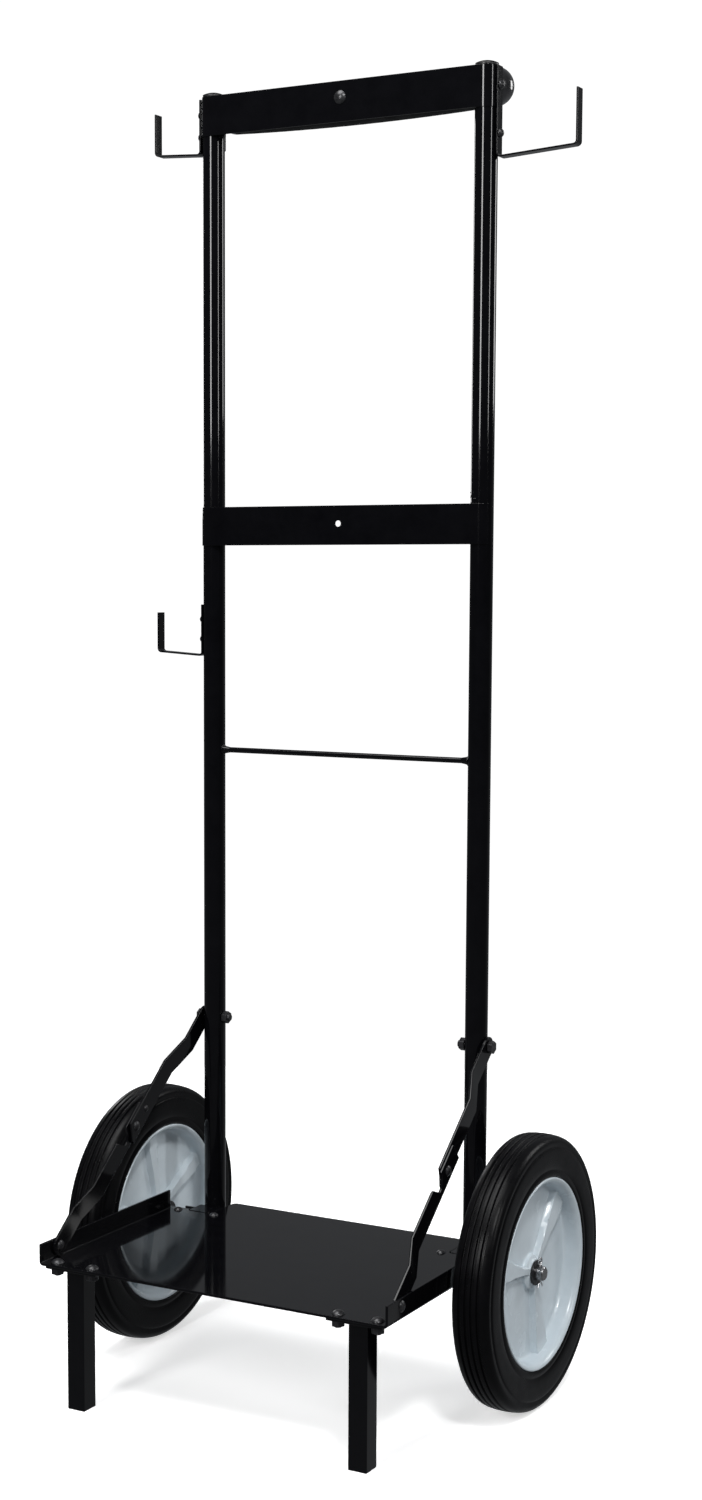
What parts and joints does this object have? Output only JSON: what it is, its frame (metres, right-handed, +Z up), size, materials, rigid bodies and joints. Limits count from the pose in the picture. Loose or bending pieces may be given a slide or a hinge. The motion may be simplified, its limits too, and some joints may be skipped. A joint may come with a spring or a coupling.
{
  "type": "gas cylinder cart",
  "caption": "Upright two-wheeled hand cart whose folding base tray carries gas cylinders between side stays, with hose hooks and a rear push grip.",
  "frame": {"origin": "on the floor, under the middle of the whole cart", "axes": "+X to the cart's right hand side seen from the front, +Z up, the cylinders stand in front of the uprights towards -Y"},
  "size_m": [0.5499, 0.4234, 1.4666],
  "materials": {
    "paint": "gloss black enamel",
    "hardware": "bright zinc plate",
    "bolts": "black oxide",
    "axle": "dark oiled steel",
    "rim": "gloss white",
    "tyre": "semi-matt black rubber",
    "grip": "matt black foam rubber",
    "cap": "satin black"
  },
  "bodies": {
    "frame": {"lower_upright_left": "paint", "lower_upright_right": "paint", "upper_upright_left": "paint", "upper_upright_right": "paint", "tube_cap_left": "cap", "tube_cap_right": "cap", "top_crosspiece": "paint", "middle_crosspiece": "paint", "lower_cross_rod": "paint", "hook_upper_right": "paint", "hook_upper_left": "paint", "hook_lower_left": "paint", "hook_bolts": "bolts", "centre_bolt": "bolts", "crosspiece_welds": "paint", "joint_screws": "bolts", "rear_grip": "grip", "grip_core": "paint", "grip_end_left": "grip", "grip_end_right": "grip", "grip_bracket_left": "paint", "grip_bracket_right": "paint", "grip_bolts": "bolts", "axle": "axle", "axle_welds": "paint", "upright_lugs": "paint", "axle_washers": "bolts", "split_pins": "hardware", "stay_bolts": "bolts"},
    "base": {"base_plate": "paint", "leg_left": "paint", "leg_right": "paint", "leg_flange_left": "paint", "leg_flange_right": "paint", "leg_bolts": "bolts", "hinge_loops_left": "paint", "hinge_loops_right": "paint", "hinge_bolts": "bolts", "stay_foot_rivets": "bolts"},
    "stay_upper_left": {"stay_upper_left": "paint", "stay_stud_left": "bolts"},
    "stay_upper_right": {"stay_upper_right": "paint", "stay_stud_right": "bolts"},
    "stay_lower_left": {"stay_lower_left": "paint", "stay_knee_left": "bolts"},
    "stay_lower_right": {"stay_lower_right": "paint", "stay_knee_right": "bolts"},
    "wheel_left": {"tyre_left": "tyre", "rim_left": "rim", "hub_bush_left": "hardware"},
    "wheel_right": {"tyre_right": "tyre", "rim_right": "rim", "hub_bush_right": "hardware"}
  },
  "joints": [
    {"name": "base_fold", "type": "hinge", "parent": "frame", "child": "base", "pos_m": [0, 0.0593, 0.1524], "axis": [-1, 0, 0], "range_deg": [0, 75]},
    {"name": "stay_upper_left_turn", "type": "hinge", "parent": "frame", "child": "stay_upper_left", "pos_m": [-0.18655, 0.07994, 0.394], "axis": [-1, 0, 0], "range_deg": [0, 116.19]},
    {"name": "stay_lower_left_turn", "type": "hinge", "parent": "base", "child": "stay_lower_left", "pos_m": [-0.21115, -0.1807, 0.17579], "axis": [1, 0, 0], "range_deg": [0, 118.4]},
    {"name": "wheel_left_spin", "type": "hinge", "parent": "frame", "child": "wheel_left", "pos_m": [-0.2475, 0.0593, 0.1524], "axis": [1, 0, 0], "continuous": true},
    {"name": "stay_upper_right_turn", "type": "hinge", "parent": "frame", "child": "stay_upper_right", "pos_m": [0.18655, 0.07994, 0.394], "axis": [-1, 0, 0], "range_deg": [0, 116.19]},
    {"name": "stay_lower_right_turn", "type": "hinge", "parent": "base", "child": "stay_lower_right", "pos_m": [0.21115, -0.1807, 0.17579], "axis": [1, 0, 0], "range_deg": [0, 118.4]},
    {"name": "wheel_right_spin", "type": "hinge", "parent": "frame", "child": "wheel_right", "pos_m": [0.2475, 0.0593, 0.1524], "axis": [1, 0, 0], "continuous": true}
  ],
  "couplings": [
    {"joint": "stay_upper_left_turn", "follows": "base_fold", "ratio": 1.5491},
    {"joint": "stay_lower_left_turn", "follows": "base_fold", "ratio": 1.5785},
    {"joint": "stay_upper_right_turn", "follows": "base_fold", "ratio": 1.5491},
    {"joint": "stay_lower_right_turn", "follows": "base_fold", "ratio": 1.5785}
  ]
}
